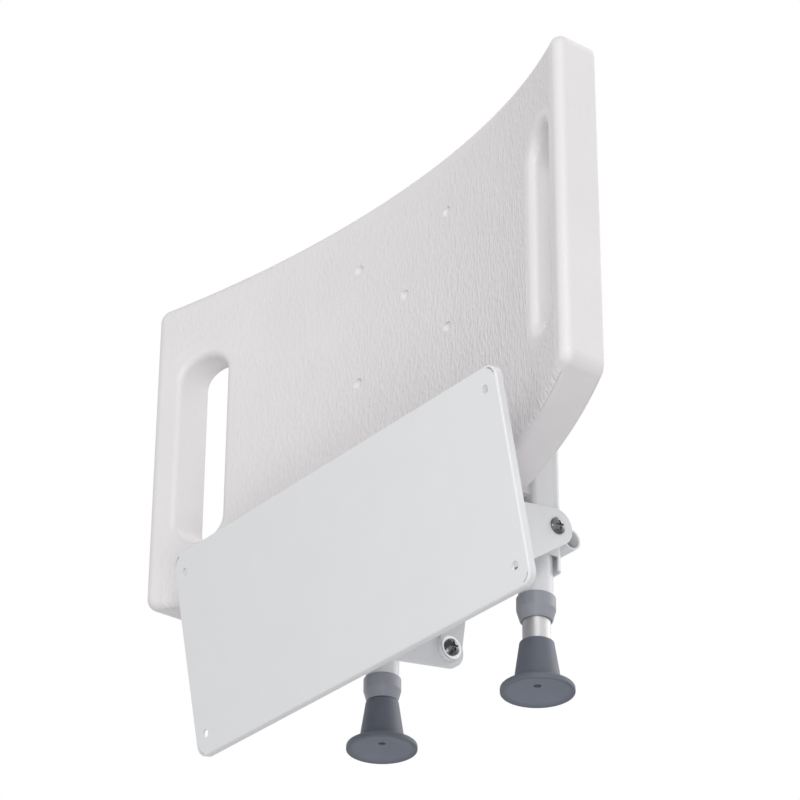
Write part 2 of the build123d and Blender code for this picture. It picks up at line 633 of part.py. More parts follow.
def lock_collar():
    """Collar that turns on the end of the leg tube and grips the inner tube."""
    outer, bore, lip = COLLAR_OUTER / 2, TUBE_R + COLLAR_GAP, INNER_R + COLLAR_LIP_GAP
    seat, end = LEG_TUBE_END - BUSH_FLANGE - COLLAR_GAP, COLLAR_END / 2
    collar = turned([(bore, COLLAR_TOP), (outer, COLLAR_TOP), (outer, COLLAR_BOTTOM + COLLAR_TAPER),
                     (end, COLLAR_BOTTOM), (lip, COLLAR_BOTTOM), (lip, seat), (bore, seat)])
    collar = fillet(rims(collar, outer)[0], COLLAR_TAPER_ROUND)
    collar = fillet(rims(collar, end)[0], COLLAR_END_ROUND)
    collar = fillet(rims(collar, outer)[-1], COLLAR_TOP_ROUND)
    return Pos(LEG_X, LEG_AXIS, 0) * collar


# Inner legs, drawn upright with the foot's base on z = 0

def foot():
    base_r, top_r = FOOT_BASE / 2, FOOT_TOP / 2
    body = turned([(0, 0), (base_r, 0), (base_r, FOOT_FLANGE), (FOOT_WAIST / 2, FOOT_FLANGE),
                   (top_r, FOOT_HEIGHT), (0, FOOT_HEIGHT)])
    body = fillet(rims(body, base_r)[-1], FOOT_FLANGE_ROUND)
    body = fillet(rims(body, base_r)[0], FOOT_RIM_ROUND)
    body = fillet(rims(body, FOOT_WAIST / 2)[0], FOOT_FLARE)
    body = fillet(rims(body, top_r)[-1], FOOT_TOP_ROUND)
    body -= ring(INNER_R, 0, FOOT_HEIGHT - FOOT_SOCKET, FOOT_HEIGHT)
    ball = cap_ball(FOOT_DISH, FOOT_DISH_DEPTH)
    body -= Pos(0, 0, FOOT_DISH_DEPTH - ball) * Sphere(ball)
    return body - ring(FOOT_VENT / 2, 0, 0, FOOT_HEIGHT)


def inner_leg(side, drawn_out):
    """Foot, steel disc, inner tube and guide plug of one leg, by node name."""
    place = FOLDED * Pos(side * LEG_X, LEG_AXIS, FOOT_BASE_AT_REST - drawn_out)
    socket, tube_low = FOOT_HEIGHT - FOOT_SOCKET, INNER_TUBE_FOOT
    tube_high = tube_low + INNER_LENGTH
    guide_r = TUBE_BORE_R - RUNNING_FIT
    guide = ring(guide_r, 0, tube_high, tube_high + GUIDE_LENGTH)
    guide += ring(INNER_BORE_R, 0, tube_high - GUIDE_STUD, tube_high)
    return {
        "foot": place * foot(),
        "foot_disc": place * ring(INNER_R, FOOT_VENT / 2, socket, tube_low),
        "inner_tube": place * ring(INNER_R, INNER_BORE_R, tube_low, tube_high),
        "guide_plug": place * guide,
    }


def all_nodes():
    """Every node of the model by name, in its folded place."""
    nodes = {"wall_plate": wall_plate(), "stay_bracket": stay_bracket(), "stay_bar": stay_bar()}
    for side, bracket in zip(SIDES, both_sides(hinge_bracket())):
        nodes[f"{side}_hinge_bracket"] = bracket
    hinge_names = ("hinge_bolts", "hinge_nuts", "hinge_washers")
    nodes.update(zip(hinge_names, hinge_fasteners()))
    nodes.update(zip(("stay_bolt", "stay_nut", "stay_washer"), stay_fasteners()))
    folding = {"seat_board": seat_board(), "cross_tube": cross_tube(), "stay_rod": stay_rod()}
    folding["tube_rivets"] = tube_rivets()
    folding.update(zip(("seat_screws", "seat_inserts"), seat_fasteners()))
    folding.update(zip(("leg_pivot_bolts", "leg_pivot_nuts", "leg_pivot_spacers"), leg_pivot_fasteners()))
    pairs = {"seat_arm": seat_arm(), "leg_channel": leg_channel(), "leg_tube": leg_tube(),
             "tube_bush": tube_bush(), "lock_collar": lock_collar()}
    for name, piece in pairs.items():
        for side, copy in zip(SIDES, both_sides(piece)):
            folding[f"{side}_{name}"] = copy
    nodes.update({name: FOLDED * piece for name, piece in folding.items()})
    for side, sign in SIDES.items():
        drawn_out = RIGHT_LEG_OUT if side == "right" else LEFT_LEG_OUT
        nodes.update({f"{side}_{name}": piece for name, piece in inner_leg(sign, drawn_out).items()})
    return nodes


if __name__ == "__main__":
    os.makedirs("parts", exist_ok=True)
    for name, piece in all_nodes().items():
        export_step(piece, f"parts/{name}.step")
    for share in (0.0, 0.5, 1.0):
        reach, lean = stay_reach(share)
        print(f"stay at {share:.1f} of the swing: reach {reach:.1f} mm, lean {lean:.2f} degrees")
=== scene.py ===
"""Looks of a wall-mounted fold-up shower seat: finishes, weld beads, studio and camera.

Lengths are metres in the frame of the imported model: X across the seat, Y out from the wall, Z up.
The seat frame is x across, y through the board and away from the wall, z up along the folded board,
with its origin on the seat hinge.
"""
import json
from math import atan2, cos, radians, sin, tau

import bpy
import numpy as np
from mathutils import Matrix, Vector


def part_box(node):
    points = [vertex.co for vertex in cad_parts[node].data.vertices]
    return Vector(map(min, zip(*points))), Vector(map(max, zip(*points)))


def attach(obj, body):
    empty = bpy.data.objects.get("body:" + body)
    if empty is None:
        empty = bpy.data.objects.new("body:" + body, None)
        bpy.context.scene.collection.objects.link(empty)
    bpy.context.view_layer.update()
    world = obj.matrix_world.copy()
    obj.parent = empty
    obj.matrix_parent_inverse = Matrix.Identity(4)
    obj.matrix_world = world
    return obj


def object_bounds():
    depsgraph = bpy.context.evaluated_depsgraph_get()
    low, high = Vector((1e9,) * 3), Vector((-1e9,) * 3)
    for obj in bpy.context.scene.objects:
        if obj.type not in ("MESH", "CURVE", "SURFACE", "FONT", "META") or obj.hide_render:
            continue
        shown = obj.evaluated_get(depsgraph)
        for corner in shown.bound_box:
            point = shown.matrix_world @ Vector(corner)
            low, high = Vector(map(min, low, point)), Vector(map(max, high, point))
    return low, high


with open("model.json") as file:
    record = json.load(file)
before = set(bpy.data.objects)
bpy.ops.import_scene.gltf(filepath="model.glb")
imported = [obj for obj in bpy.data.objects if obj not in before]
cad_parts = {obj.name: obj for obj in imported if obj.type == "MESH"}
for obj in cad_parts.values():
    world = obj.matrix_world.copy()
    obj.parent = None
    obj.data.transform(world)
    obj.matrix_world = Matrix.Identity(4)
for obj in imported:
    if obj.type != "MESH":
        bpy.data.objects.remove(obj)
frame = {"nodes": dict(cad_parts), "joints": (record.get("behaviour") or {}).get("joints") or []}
CAD_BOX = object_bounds()

bl_info = {
    "name": "Fold-up shower seat",
    "version": (1, 0, 0),
    "blender": (4, 5, 0),
    "location": "View3D > Sidebar > Shower seat",
    "description": "Finishes, weld beads and studio for a wall-mounted fold-up shower seat",
    "category": "Object",
}

MM = 0.001


def joint(name):
    """The record's entry for one joint."""
    return next(entry for entry in frame["joints"] if entry["name"] == name)


# Seat frame, from the hinge and the direction in which the legs slide
HINGE = Vector(joint("seat_fold")["pos_m"])
ALONG = -Vector(joint("right_leg_slide")["axis"])
LEAN = atan2(ALONG.y, ALONG.z)


def seat_points(node):
    """Corners of a node in the seat frame, as an array of rows x, out, along."""
    mesh = frame["nodes"][node].data
    flat = np.empty(len(mesh.vertices) * 3, np.float32)
    mesh.vertices.foreach_get("co", flat)
    places = flat.reshape(-1, 3) - np.array(HINGE)
    out = places[:, 1] * cos(LEAN) - places[:, 2] * sin(LEAN)
    along = places[:, 1] * sin(LEAN) + places[:, 2] * cos(LEAN)
    return np.column_stack((places[:, 0], out, along))


def to_world(x, out, along):
    """A place in the seat frame, in the frame of the model."""
    return (x, HINGE.y + out * cos(LEAN) + along * sin(LEAN), HINGE.z - out * sin(LEAN) + along * cos(LEAN))


# Dish of the board: an arc through its middle and its two ends
BOARD = seat_points("seat_board")
BOARD_LOW, BOARD_HIGH = BOARD.min(0).tolist(), BOARD.max(0).tolist()
MIDDLE_STRIP = 20 * MM
BOARD_MIDDLE = BOARD[np.abs(BOARD[:, 0]) < MIDDLE_STRIP]
FACE_OUT = float(BOARD_MIDDLE[:, 1].min())
DISH_DEPTH = FACE_OUT - BOARD_LOW[1]
HALF_WIDTH = BOARD_HIGH[0]
DISH_RADIUS = (HALF_WIDTH ** 2 + DISH_DEPTH ** 2) / (2 * DISH_DEPTH)

# Depth under the dish down to which a point is wholly on the sitting face, and from which it isn't
FACE_DEPTH, FACE_END = 0.3 * MM, 1.2 * MM
# Pebbles: coordinates are squeezed along these axes, so that the cells come out long
PEBBLE_SQUEEZE = (1.0, 0.5, 0.45)
FINE_PER_PEBBLE = 3
# Heights of the cells, the fine grain, the skin and the slow waves, as shares of the pebbles' depth
CELL_HEIGHT, FINE_HEIGHT, SKIN_HEIGHT, WAVE_HEIGHT = 0.8, 0.35, 0.08, 0.25
# Squeeze along an inner tube that draws noise out into lines
DRAWN_LINES = (1.0, 1.0, 0.012)
# Painted light that makes the hollow of a sole paler ends and is full at these shares of the base's radius
# and at these heights
SOLE_LIGHT_END, SOLE_LIGHT_FULL = 0.97, 0.75
SOLE_LIGHT_TOP, SOLE_LIGHT_FULL_TOP = 7 * MM, 6 * MM
# Shares of the random bloom and of the painted light in the hollow of the sole in how much paler the rubber
# turns
BLOOM_SHARE, SOLE_LIGHT_SHARE = 0.45, 0.55
# Roughness that each mask adds at its full strength
PEBBLE_ROUGHNESS, SCUFF_ROUGHNESS, CLOUD_ROUGHNESS = 0.14, 0.12, 0.06
BRASS_DULLNESS, ACETAL_CLOUDING = 0.2, 0.1
PLASTIC_IOR = 1.5

# Weld beads, in radii: how far a bead's middle stands out of its corner, how long its rounded ends are,
# and how far it stays from the edges of a channel
WELD_STANDS_OUT, WELD_END, WELD_INSET = 0.4, 1.5, 2
# Share of its distance from a round bar at which a bead lies, so that it tucks under the bar
WELD_TUCK = 0.86
# Square of a bead's size at its very ends, as a share of its radius
SMALLEST_END = 0.02
# Beads on the leg frame, as shares of the brackets' beads
CROSS_TUBE_WELD, STAY_ROD_WELD = 0.8, 0.6
# Ripples of a bead, and the slower wave over them, as shares of its radius; the wave's turn per pitch
RIPPLE_HEIGHT, SWELL_HEIGHT, SWELL_TURN = 0.09, 0.05, 1.7
BEAD_CORNERS, ROWS_PER_RIPPLE, FEWEST_ROWS = 14, 6, 24

# Studio: sensor in millimetres, nearest and farthest place that the camera sees, half the floor's width
SENSOR_WIDTH = 36.0
CLIP_NEAR, CLIP_FAR = 0.05, 60.0
FLOOR_REACH = 6.0
WHITE = (1, 1, 1, 1)


# Properties that a user would change

def length(name, description, default):
    return bpy.props.FloatProperty(name=name, description=description, default=default, subtype="DISTANCE",
                                   unit="LENGTH", precision=5)


def share(name, description, default):
    return bpy.props.FloatProperty(name=name, description=description, default=default, min=0.0, max=1.0)


def angle(name, description, degrees):
    return bpy.props.FloatProperty(name=name, description=description, default=radians(degrees),
                                   subtype="ANGLE", unit="ROTATION")


def colour(name, description, default):
    return bpy.props.FloatVectorProperty(name=name, description=description, default=default,
                                         subtype="COLOR", size=3, min=0.0, max=1.0)


class BoardLooks(bpy.types.PropertyGroup):
    """Plastic of the seat board."""
    plastic: colour("Plastic", "Colour of the moulded board", (0.775, 0.752, 0.762))
    mottle: share("Mottle", "How much the colour drifts over the board", 0.05)
    roughness: share("Roughness", "Roughness of the smooth border", 0.42)
    pebble: length("Pebble", "Width of one pebble of the sitting face", 2.7 * MM)
    pebble_depth: length("Pebble depth", "Height of the pebbles", 1.1 * MM)
    worn: share("Worn", "How much flatter the pebbles are at the upper left than at the lower right", 0.6)
    border: length("Border", "Smooth band round the sitting face", 13 * MM)
    slot_border: length("Slot border", "Smooth band round the hand slots", 8 * MM)
    slot_x: length("Slot place across", "Distance of the hand slots from the middle", 210 * MM)
    slot_along: length("Slot place along", "Middle of the hand slots from the hinge", 172.5 * MM)
    slot_width: length("Slot width", "Width of a hand slot", 37 * MM)
    slot_length: length("Slot length", "Length of a hand slot", 168 * MM)


class SteelLooks(bpy.types.PropertyGroup):
    """Painted and plated steel."""
    paint: colour("Paint", "Colour of the powder coat", (0.755, 0.76, 0.78))
    paint_roughness: share("Paint roughness", "Roughness of the powder coat", 0.34)
    peel: length("Orange peel", "Width of the paint's ripples", 1.6 * MM)
    peel_depth: length("Orange peel depth", "Height of the paint's ripples", 0.02 * MM)
    # Darkened plating colour of the bolts, nuts, rivets, stay rod and foot discs: a painted dark reflection
    # standing in for the dark surround that the plating reflects
    painted_reflection_zinc: colour("Zinc", "Colour of the plated fasteners", (0.17, 0.172, 0.178))
    washer: colour("Washers", "Colour of the brighter plated washers", (0.78, 0.785, 0.80))
    zinc_roughness: share("Zinc roughness", "Roughness of the plating", 0.16)
    brass: colour("Brass", "Colour of the seat inserts", (0.72, 0.52, 0.22))
    brass_roughness: share("Brass roughness", "Least roughness of the seat inserts", 0.25)
    weld: length("Weld", "Radius of a weld bead", 2.4 * MM)
    weld_pitch: length("Weld pitch", "Distance between the ripples of a weld", 1.8 * MM)


class LegLooks(bpy.types.PropertyGroup):
    """Pieces of the telescopic legs."""
    aluminium: colour("Aluminium", "Colour of the inner tubes", (0.60, 0.60, 0.60))
    tube_roughness: share("Tube roughness", "Roughness of the inner tubes", 0.5)
    nylon: colour("Nylon", "Colour of the lock collars", (0.30, 0.308, 0.352))
    nylon_roughness: share("Nylon roughness", "Roughness of the lock collars", 0.40)
    rubber: colour("Rubber", "Colour of the feet", (0.112, 0.124, 0.155))
    rubber_roughness: share("Rubber roughness", "Roughness of the feet", 0.52)
    acetal: colour("Acetal", "Colour of the bushes and guide plugs", (0.72, 0.71, 0.66))
    acetal_roughness: share("Acetal roughness", "Least roughness of the bushes and guide plugs", 0.38)


class StudioSettings(bpy.types.PropertyGroup):
    """Camera, surroundings and floor."""
    azimuth: angle("Azimuth", "Camera's turn round the seat", 47.678)
    elevation: angle("Elevation", "Camera's height angle, below the horizon when negative", -22.625)
    roll: angle("Roll", "Camera's roll", -9.012)
    distance: length("Distance", "Camera's distance from its target", 2.375)
    target: bpy.props.FloatVectorProperty(name="Target", description="Point in the middle of the picture",
                                          default=(-0.01735, 0.1, 0.15591), subtype="TRANSLATION")
    lens: bpy.props.FloatProperty(name="Lens", description="Focal length in millimetres", default=140.22)
    ambient: bpy.props.FloatProperty(name="Ambient", description="Strength of the white surroundings",
                                     default=0.5)
    floor_drop: length("Floor", "Depth of the floor under the wall plate's middle", 1.9)
    floor_colour: colour("Floor colour", "Colour of the floor", (0.86, 0.86, 0.86))


# Shader maths

class Value:
    """A socket that takes part in Python expressions: each operation on numbers adds one Math node."""

    def __init__(self, graph, socket):
        self.graph, self.socket = graph, socket

    def math(self, operation, first, second=None):
        inputs = {0: first} if second is None else {0: first, 1: second}
        return self.graph.value("ShaderNodeMath", {"operation": operation}, inputs)

    def __add__(self, other):
        return self.math("ADD", self, other)

    __radd__ = __add__

    def __sub__(self, other):
        return self.math("SUBTRACT", self, other)

    def __rsub__(self, other):
        return self.math("SUBTRACT", other, self)

    def __mul__(self, other):
        return self.math("MULTIPLY", self, other)

    __rmul__ = __mul__

    def __truediv__(self, other):
        return self.math("DIVIDE", self, other)

    def __pow__(self, other):
        return self.math("POWER", self, other)

    def __abs__(self):
        return self.math("ABSOLUTE", self)

    def at_least(self, other):
        return self.math("MAXIMUM", self, other)

    def root(self):
        return self.math("SQRT", self)

    def swing(self, reach):
        """A mask from 0 to 1 made to swing evenly about 0, over the given reach."""
        return (self - 0.5) * reach

    def rise(self, low, high):
        """0 below low, 1 above high and smooth between; falls instead where low is the larger."""
        settings = {"interpolation_type": "SMOOTHSTEP"}
        if low < high:
            return self.graph.value("ShaderNodeMapRange", settings, {0: self, 1: low, 2: high})
        return 1 - self.graph.value("ShaderNodeMapRange", settings, {0: self, 1: high, 2: low})


class Graph:
    """Node tree of a material or a world, with one method that adds any node."""

    # Sockets of a Mix node that mixes colours
    MIX_FACTOR, MIX_FIRST, MIX_SECOND, MIX_RESULT = 0, 6, 7, 2

    def __init__(self, owner):
        owner.use_nodes = True
        self.owner, self.tree = owner, owner.node_tree
        self.tree.nodes.clear()

    def node(self, kind, settings=None, inputs=None):
        """Add a node: its settings are set first, then the values or links of its sockets."""
        made = self.tree.nodes.new(kind)
        for name, setting in (settings or {}).items():
            setattr(made, name, setting)
        for key, source in (inputs or {}).items():
            socket = made.inputs[key]
            if isinstance(source, Value):
                self.tree.links.new(source.socket, socket)
            else:
                socket.default_value = source
        return made

    def value(self, kind, settings=None, inputs=None, output=0):
        """Add a node and return one of its outputs."""
        return Value(self, self.node(kind, settings, inputs).outputs[output])

    def places(self):
        """Object coordinates."""
        return self.value("ShaderNodeTexCoord", output="Object")

    def in_seat_frame(self):
        """Object coordinates turned into the seat frame: x across, y out, z along the board."""
        inputs = {"Vector": self.places(), "Location": HINGE, "Rotation": (-LEAN, 0, 0)}
        return self.value("ShaderNodeMapping", {"vector_type": "TEXTURE"}, inputs)

    def squeezed(self, places, scale):
        """Coordinates scaled along each axis."""
        return self.value("ShaderNodeMapping", inputs={"Vector": places, "Scale": scale})

    def axes(self, places):
        """The three parts of a vector."""
        parts = self.node("ShaderNodeSeparateXYZ", inputs={0: places}).outputs
        return [Value(self, part) for part in parts]

    def noise(self, places, size, detail=2.0, roughness=0.5):
        """Soft noise from 0 to 1 whose features are about the given size."""
        inputs = {"Vector": places, "Scale": 1 / size, "Detail": detail, "Roughness": roughness}
        return self.value("ShaderNodeTexNoise", inputs=inputs)

    def cells(self, places, size, smoothness):
        """Rounded cells: 0 in the middle of each and about 1 where they meet."""
        inputs = {"Vector": places, "Scale": 1 / size, "Smoothness": smoothness}
        return self.value("ShaderNodeTexVoronoi", {"feature": "SMOOTH_F1"}, inputs)

    def shades(self, factor, tint, dark, light):
        """Colour that runs from a dark to a light shade of one tint as the factor runs from 0 to 1."""
        first, second = ((*(min(1.0, part * level) for part in tint), 1) for level in (dark, light))
        inputs = {self.MIX_FACTOR: factor, self.MIX_FIRST: first, self.MIX_SECOND: second}
        return self.value("ShaderNodeMix", {"data_type": "RGBA"}, inputs, self.MIX_RESULT)

    def bump(self, height, depth):
        """Normal of a surface whose height runs from 0 to 1 over the given depth."""
        return self.value("ShaderNodeBump", inputs={"Height": height, "Distance": depth})

    def surface(self, **sockets):
        """Finish the material with one principled shader."""
        inputs = {name.replace("_", " "): source for name, source in sockets.items()}
        shader = self.value("ShaderNodeBsdfPrincipled", inputs=inputs)
        self.node("ShaderNodeOutputMaterial", inputs={"Surface": shader})
        return self.owner


def material_graph(name):
    """Empty node tree of a new material."""
    return Graph(bpy.data.materials.new(name))


# Materials

def pebbled_part(look, across, out, along):
    """1 on the pebbled part of the sitting face: inside its smooth border and clear of the hand slots."""
    from_axis = (across ** 2 + (out - (FACE_OUT - DISH_RADIUS)) ** 2).root()
    on_face = from_axis.rise(DISH_RADIUS + FACE_END, DISH_RADIUS + FACE_DEPTH)
    side = abs(across)
    soft = look.border / 2
    inside = side.rise(HALF_WIDTH - look.border, HALF_WIDTH - look.border - soft)
    inside = inside * along.rise(BOARD_LOW[2] + look.border, BOARD_LOW[2] + look.border + soft)
    inside = inside * along.rise(BOARD_HIGH[2] - look.border, BOARD_HIGH[2] - look.border - soft)
    straight = (look.slot_length - look.slot_width) / 2
    past_end = (abs(along - look.slot_along) - straight).at_least(0)
    from_slot = ((side - look.slot_x) ** 2 + past_end ** 2).root()
    slot_edge = look.slot_width / 2 + look.slot_border
    return on_face * inside * from_slot.rise(slot_edge, slot_edge + soft)


def moulded_board(look):
    """Moulded plastic: pebbled inside a smooth border on the sitting face, smooth everywhere else."""
    graph = material_graph("moulded_board")
    places = graph.in_seat_frame()
    across, out, along = graph.axes(places)
    pebbled = pebbled_part(look, across, out, along)
    wavy = graph.noise(places, size=11 * MM, detail=3.0)
    long_places = graph.squeezed(places, PEBBLE_SQUEEZE)
    cells = graph.cells(long_places, size=look.pebble, smoothness=0.35)
    fine = graph.noise(long_places, size=look.pebble / FINE_PER_PEBBLE)
    corner = across / HALF_WIDTH - (along - look.slot_along) / look.slot_length
    fresh = 1 - look.worn + look.worn * corner.rise(-1.0, 1.0)
    pebbles = (cells * CELL_HEIGHT + fine * FINE_HEIGHT) * pebbled * fresh
    skin = graph.noise(places, size=0.9 * MM) * SKIN_HEIGHT + wavy * WAVE_HEIGHT
    drift = graph.noise(places, size=60 * MM, detail=4.0)
    tint = graph.shades(drift, look.plastic, dark=1 - look.mottle, light=1 + look.mottle / 2)
    rough = look.roughness + pebbled * PEBBLE_ROUGHNESS + wavy.swing(reach=0.10)
    normal = graph.bump(pebbles + skin, look.pebble_depth)
    return graph.surface(Base_Color=tint, Roughness=rough, Normal=normal, IOR=PLASTIC_IOR)


def powder_coat(look):
    """White powder coat with fine orange peel."""
    graph = material_graph("powder_coat")
    places = graph.places()
    peel = graph.noise(places, size=look.peel)
    slow = graph.noise(places, size=35 * MM, detail=3.0)
    tint = graph.shades(slow, look.paint, dark=0.975, light=1.02)
    rough = look.paint_roughness + slow.swing(reach=0.12) + peel.swing(reach=0.06)
    normal = graph.bump(peel, look.peel_depth)
    return graph.surface(Base_Color=tint, Roughness=rough, Normal=normal, IOR=PLASTIC_IOR)


def zinc_plate(name, metal, look):
    """Zinc plate of the given colour, with fine scuffs."""
    graph = material_graph(name)
    places = graph.places()
    scuffs = graph.noise(places, size=0.5 * MM, detail=4.0, roughness=0.65)
    cloud = graph.noise(places, size=4 * MM)
    tint = graph.shades(cloud, metal, dark=0.88, light=1.06)
    rough = look.zinc_roughness + scuffs * SCUFF_ROUGHNESS + cloud * CLOUD_ROUGHNESS
    normal = graph.bump(scuffs, depth=0.01 * MM)
    return graph.surface(Base_Color=tint, Metallic=1.0, Roughness=rough, Normal=normal)


def turned_brass(look):
    """Turned brass, a little dull."""
    graph = material_graph("turned_brass")
    dull = graph.noise(graph.places(), size=2 * MM, detail=3.0)
    tint = graph.shades(dull, look.brass, dark=0.8, light=1.0)
    rough = look.brass_roughness + dull * BRASS_DULLNESS
    return graph.surface(Base_Color=tint, Metallic=1.0, Roughness=rough)


def satin_aluminium(look):
    """Satin tube: fine lines drawn along its length."""
    graph = material_graph("satin_aluminium")
    places = graph.in_seat_frame()
    lines = graph.noise(graph.squeezed(places, DRAWN_LINES), size=0.35 * MM, detail=3.0, roughness=0.6)
    cloud = graph.noise(places, size=12 * MM)
    tint = graph.shades(lines, look.aluminium, dark=0.9, light=1.05)
    rough = look.tube_roughness + lines.swing(reach=0.16) + cloud.swing(reach=0.08)
    normal = graph.bump(lines, depth=0.01 * MM)
    return graph.surface(Base_Color=tint, Metallic=1.0, Roughness=rough, Normal=normal)


def moulded_nylon(look):
    """Grey nylon with the grain of its mould."""
    graph = material_graph("moulded_nylon")
    places = graph.in_seat_frame()
    grain = graph.noise(places, size=0.6 * MM, detail=3.0)
    cloud = graph.noise(places, size=9 * MM, detail=3.0)
    tint = graph.shades(cloud, look.nylon, dark=0.93, light=1.06)
    rough = look.nylon_roughness + cloud.swing(reach=0.14) + grain.swing(reach=0.08)
    return graph.surface(Base_Color=tint, Roughness=rough, Normal=graph.bump(grain, depth=0.03 * MM))


def painted_light_in_sole(across, out, along):
    """Mask of painted light: 1 in the hollow of each sole, found by distance from the leg's axis and height
    over the base, where the rubber's colour is made paler.
    """
    right, left = (seat_points(node) for node in on_both_sides("foot"))
    leg_x, leg_out = (float(right[:, axis].min() + right[:, axis].max()) / 2 for axis in (0, 1))
    base_radius = float(right[:, 0].max()) - leg_x
    right_base, left_base = (float(foot[:, 2].min()) for foot in (right, left))
    height = along - left_base - across.rise(-leg_x, leg_x) * (right_base - left_base)
    from_leg = ((abs(across) - leg_x) ** 2 + (out - leg_out) ** 2).root()
    under_base = from_leg.rise(SOLE_LIGHT_END * base_radius, SOLE_LIGHT_FULL * base_radius)
    return under_base * height.rise(SOLE_LIGHT_TOP, SOLE_LIGHT_FULL_TOP)


def foot_rubber(look):
    """Moulded rubber with a faint bloom and fine speckle, and painted light that makes the hollow of the
    sole paler.
    """
    graph = material_graph("foot_rubber")
    places = graph.in_seat_frame()
    speckle = graph.noise(places, size=0.45 * MM, detail=3.0, roughness=0.7)
    bloom = graph.noise(places, size=14 * MM, detail=4.0)
    # Paler rubber: random bloom, plus painted light in the hollow of the sole
    pale = bloom * BLOOM_SHARE + painted_light_in_sole(*graph.axes(places)) * SOLE_LIGHT_SHARE
    tint = graph.shades(pale, look.rubber, dark=0.86, light=1.7)
    rough = look.rubber_roughness + bloom.swing(reach=0.18) + speckle.swing(reach=0.10)
    return graph.surface(Base_Color=tint, Roughness=rough, Normal=graph.bump(speckle, depth=0.04 * MM))


def natural_acetal(look):
    """Natural moulded plastic of the hidden bushes."""
    graph = material_graph("natural_acetal")
    cloud = graph.noise(graph.places(), size=8 * MM, detail=3.0)
    tint = graph.shades(cloud, look.acetal, dark=0.94, light=1.0)
    rough = look.acetal_roughness + cloud * ACETAL_CLOUDING
    return graph.surface(Base_Color=tint, Roughness=rough)


def dress(material, nodes):
    """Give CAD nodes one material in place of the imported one."""
    for node in nodes:
        mesh = frame["nodes"][node].data
        mesh.materials.clear()
        mesh.materials.append(material)


def on_both_sides(*names):
    """Names of the right and the left copy of each piece."""
    return [f"{side}_{name}" for side in ("right", "left") for name in names]


# Weld beads

def closed_tube(rows):
    """Points and faces of a tube through a grid of points, rows by corners, with a fan over each end."""
    count, corners = rows.shape[:2]
    ends = rows[[0, -1]].mean(axis=1)
    points = np.concatenate((rows.reshape(-1, 3), ends))
    row, corner = np.meshgrid(np.arange(count - 1), np.arange(corners), indexing="ij")
    after = (corner + 1) % corners
    quads = np.stack((row * corners + corner, row * corners + after, (row + 1) * corners + after,
                      (row + 1) * corners + corner), axis=-1).reshape(-1, 4)
    ring = np.arange(corners)
    turn = (ring + 1) % corners
    last = (count - 1) * corners
    first_cap = np.stack((turn, ring, np.full(corners, count * corners)), axis=-1)
    last_cap = np.stack((last + ring, last + turn, np.full(corners, count * corners + 1)), axis=-1)
    return points, quads.tolist() + first_cap.tolist() + last_cap.tolist()


def weld_bead(start, end, radius, pitch):
    """Bead along a straight seam: a ring of points carried from start to end.

    Its radius swells and sinks with a rippled wave of the given pitch and falls to nearly nothing at both
    ends, like the overlapping puddles of a weld.
    """
    start, end = np.array(start), np.array(end)
    run = np.linalg.norm(end - start)
    axis = (end - start) / run
    first = np.cross(axis, np.roll(axis, 1))
    second = np.cross(axis, first)
    along = np.linspace(0, run, max(FEWEST_ROWS, int(run / pitch * ROWS_PER_RIPPLE)))
    from_end = np.clip(np.minimum(along, run - along) / (WELD_END * radius), 0, 1)
    taper = np.sqrt(np.clip(1 - (1 - from_end) ** 2, SMALLEST_END, 1))
    ripple = RIPPLE_HEIGHT * np.abs(np.sin(np.pi * along / pitch))
    swell = SWELL_HEIGHT * np.sin(along / pitch * SWELL_TURN)
    size = radius * taper * (1 + ripple + swell)
    turn = np.linspace(0, tau, BEAD_CORNERS, endpoint=False)
    ring = np.cos(turn)[:, None] * first + np.sin(turn)[:, None] * second
    return start + along[:, None, None] * axis + size[:, None, None] * ring


def bead_object(name, seams, pitch, material, body):
    """All the beads of one body in one mesh."""
    points, faces = [], []
    total = 0
    for start, end, radius in seams:
        bead_points, bead_faces = closed_tube(weld_bead(start, end, radius, pitch))
        faces += [[corner + total for corner in face] for face in bead_faces]
        points.append(bead_points)
        total += len(bead_points)
    mesh = bpy.data.meshes.new(name)
    mesh.from_pydata(np.concatenate(points).tolist(), [], faces)
    mesh.shade_smooth()
    mesh.materials.append(material)
    made = bpy.data.objects.new(name, mesh)
    bpy.context.scene.collection.objects.link(made)
    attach(made, body)


def bracket_seams(radius):
    """Seams along the foot of each bracket: both sides, where the ears meet the plate."""
    proud = WELD_STANDS_OUT * radius
    seams = []
    for bracket in on_both_sides("hinge_bracket") + ["stay_bracket"]:
        low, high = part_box(bracket)
        foot = low.y + proud
        for side in (low.x - proud, high.x + proud):
            seams.append(((side, foot, low.z + radius), (side, foot, high.z - radius), radius))
    return seams


def bar_seams(node, radius):
    """Seams where a round bar lies across the leg channels: above and below it, on each channel.

    A bead that touches both the bar and the channel lies twice the root of the two radii's product from
    the bar's middle, and is drawn in from there.
    """
    bar = seat_points(node)
    bar_low, bar_high = bar.min(0), bar.max(0)
    bar_radius = (bar_high[2] - bar_low[2]) / 2
    middle = (bar_high[2] + bar_low[2]) / 2
    reach = WELD_TUCK * 2 * np.sqrt(bar_radius * radius)
    out = bar_low[1] + WELD_STANDS_OUT * radius
    inset = WELD_INSET * radius
    seams = []
    for channel in on_both_sides("leg_channel"):
        edge = seat_points(channel)
        left, right = edge[:, 0].min() + inset, edge[:, 0].max() - inset
        for side in (-1, 1):
            place = middle + side * reach
            seams.append((to_world(left, out, place), to_world(right, out, place), radius))
    return seams


# Operators

class SHOWERSEAT_OT_board(bpy.types.Operator):
    """Finish the seat board"""
    bl_idname = "shower_seat.board"
    bl_label = "Seat board"

    def execute(self, context):
        dress(moulded_board(context.scene.board_looks), ["seat_board"])
        return {"FINISHED"}


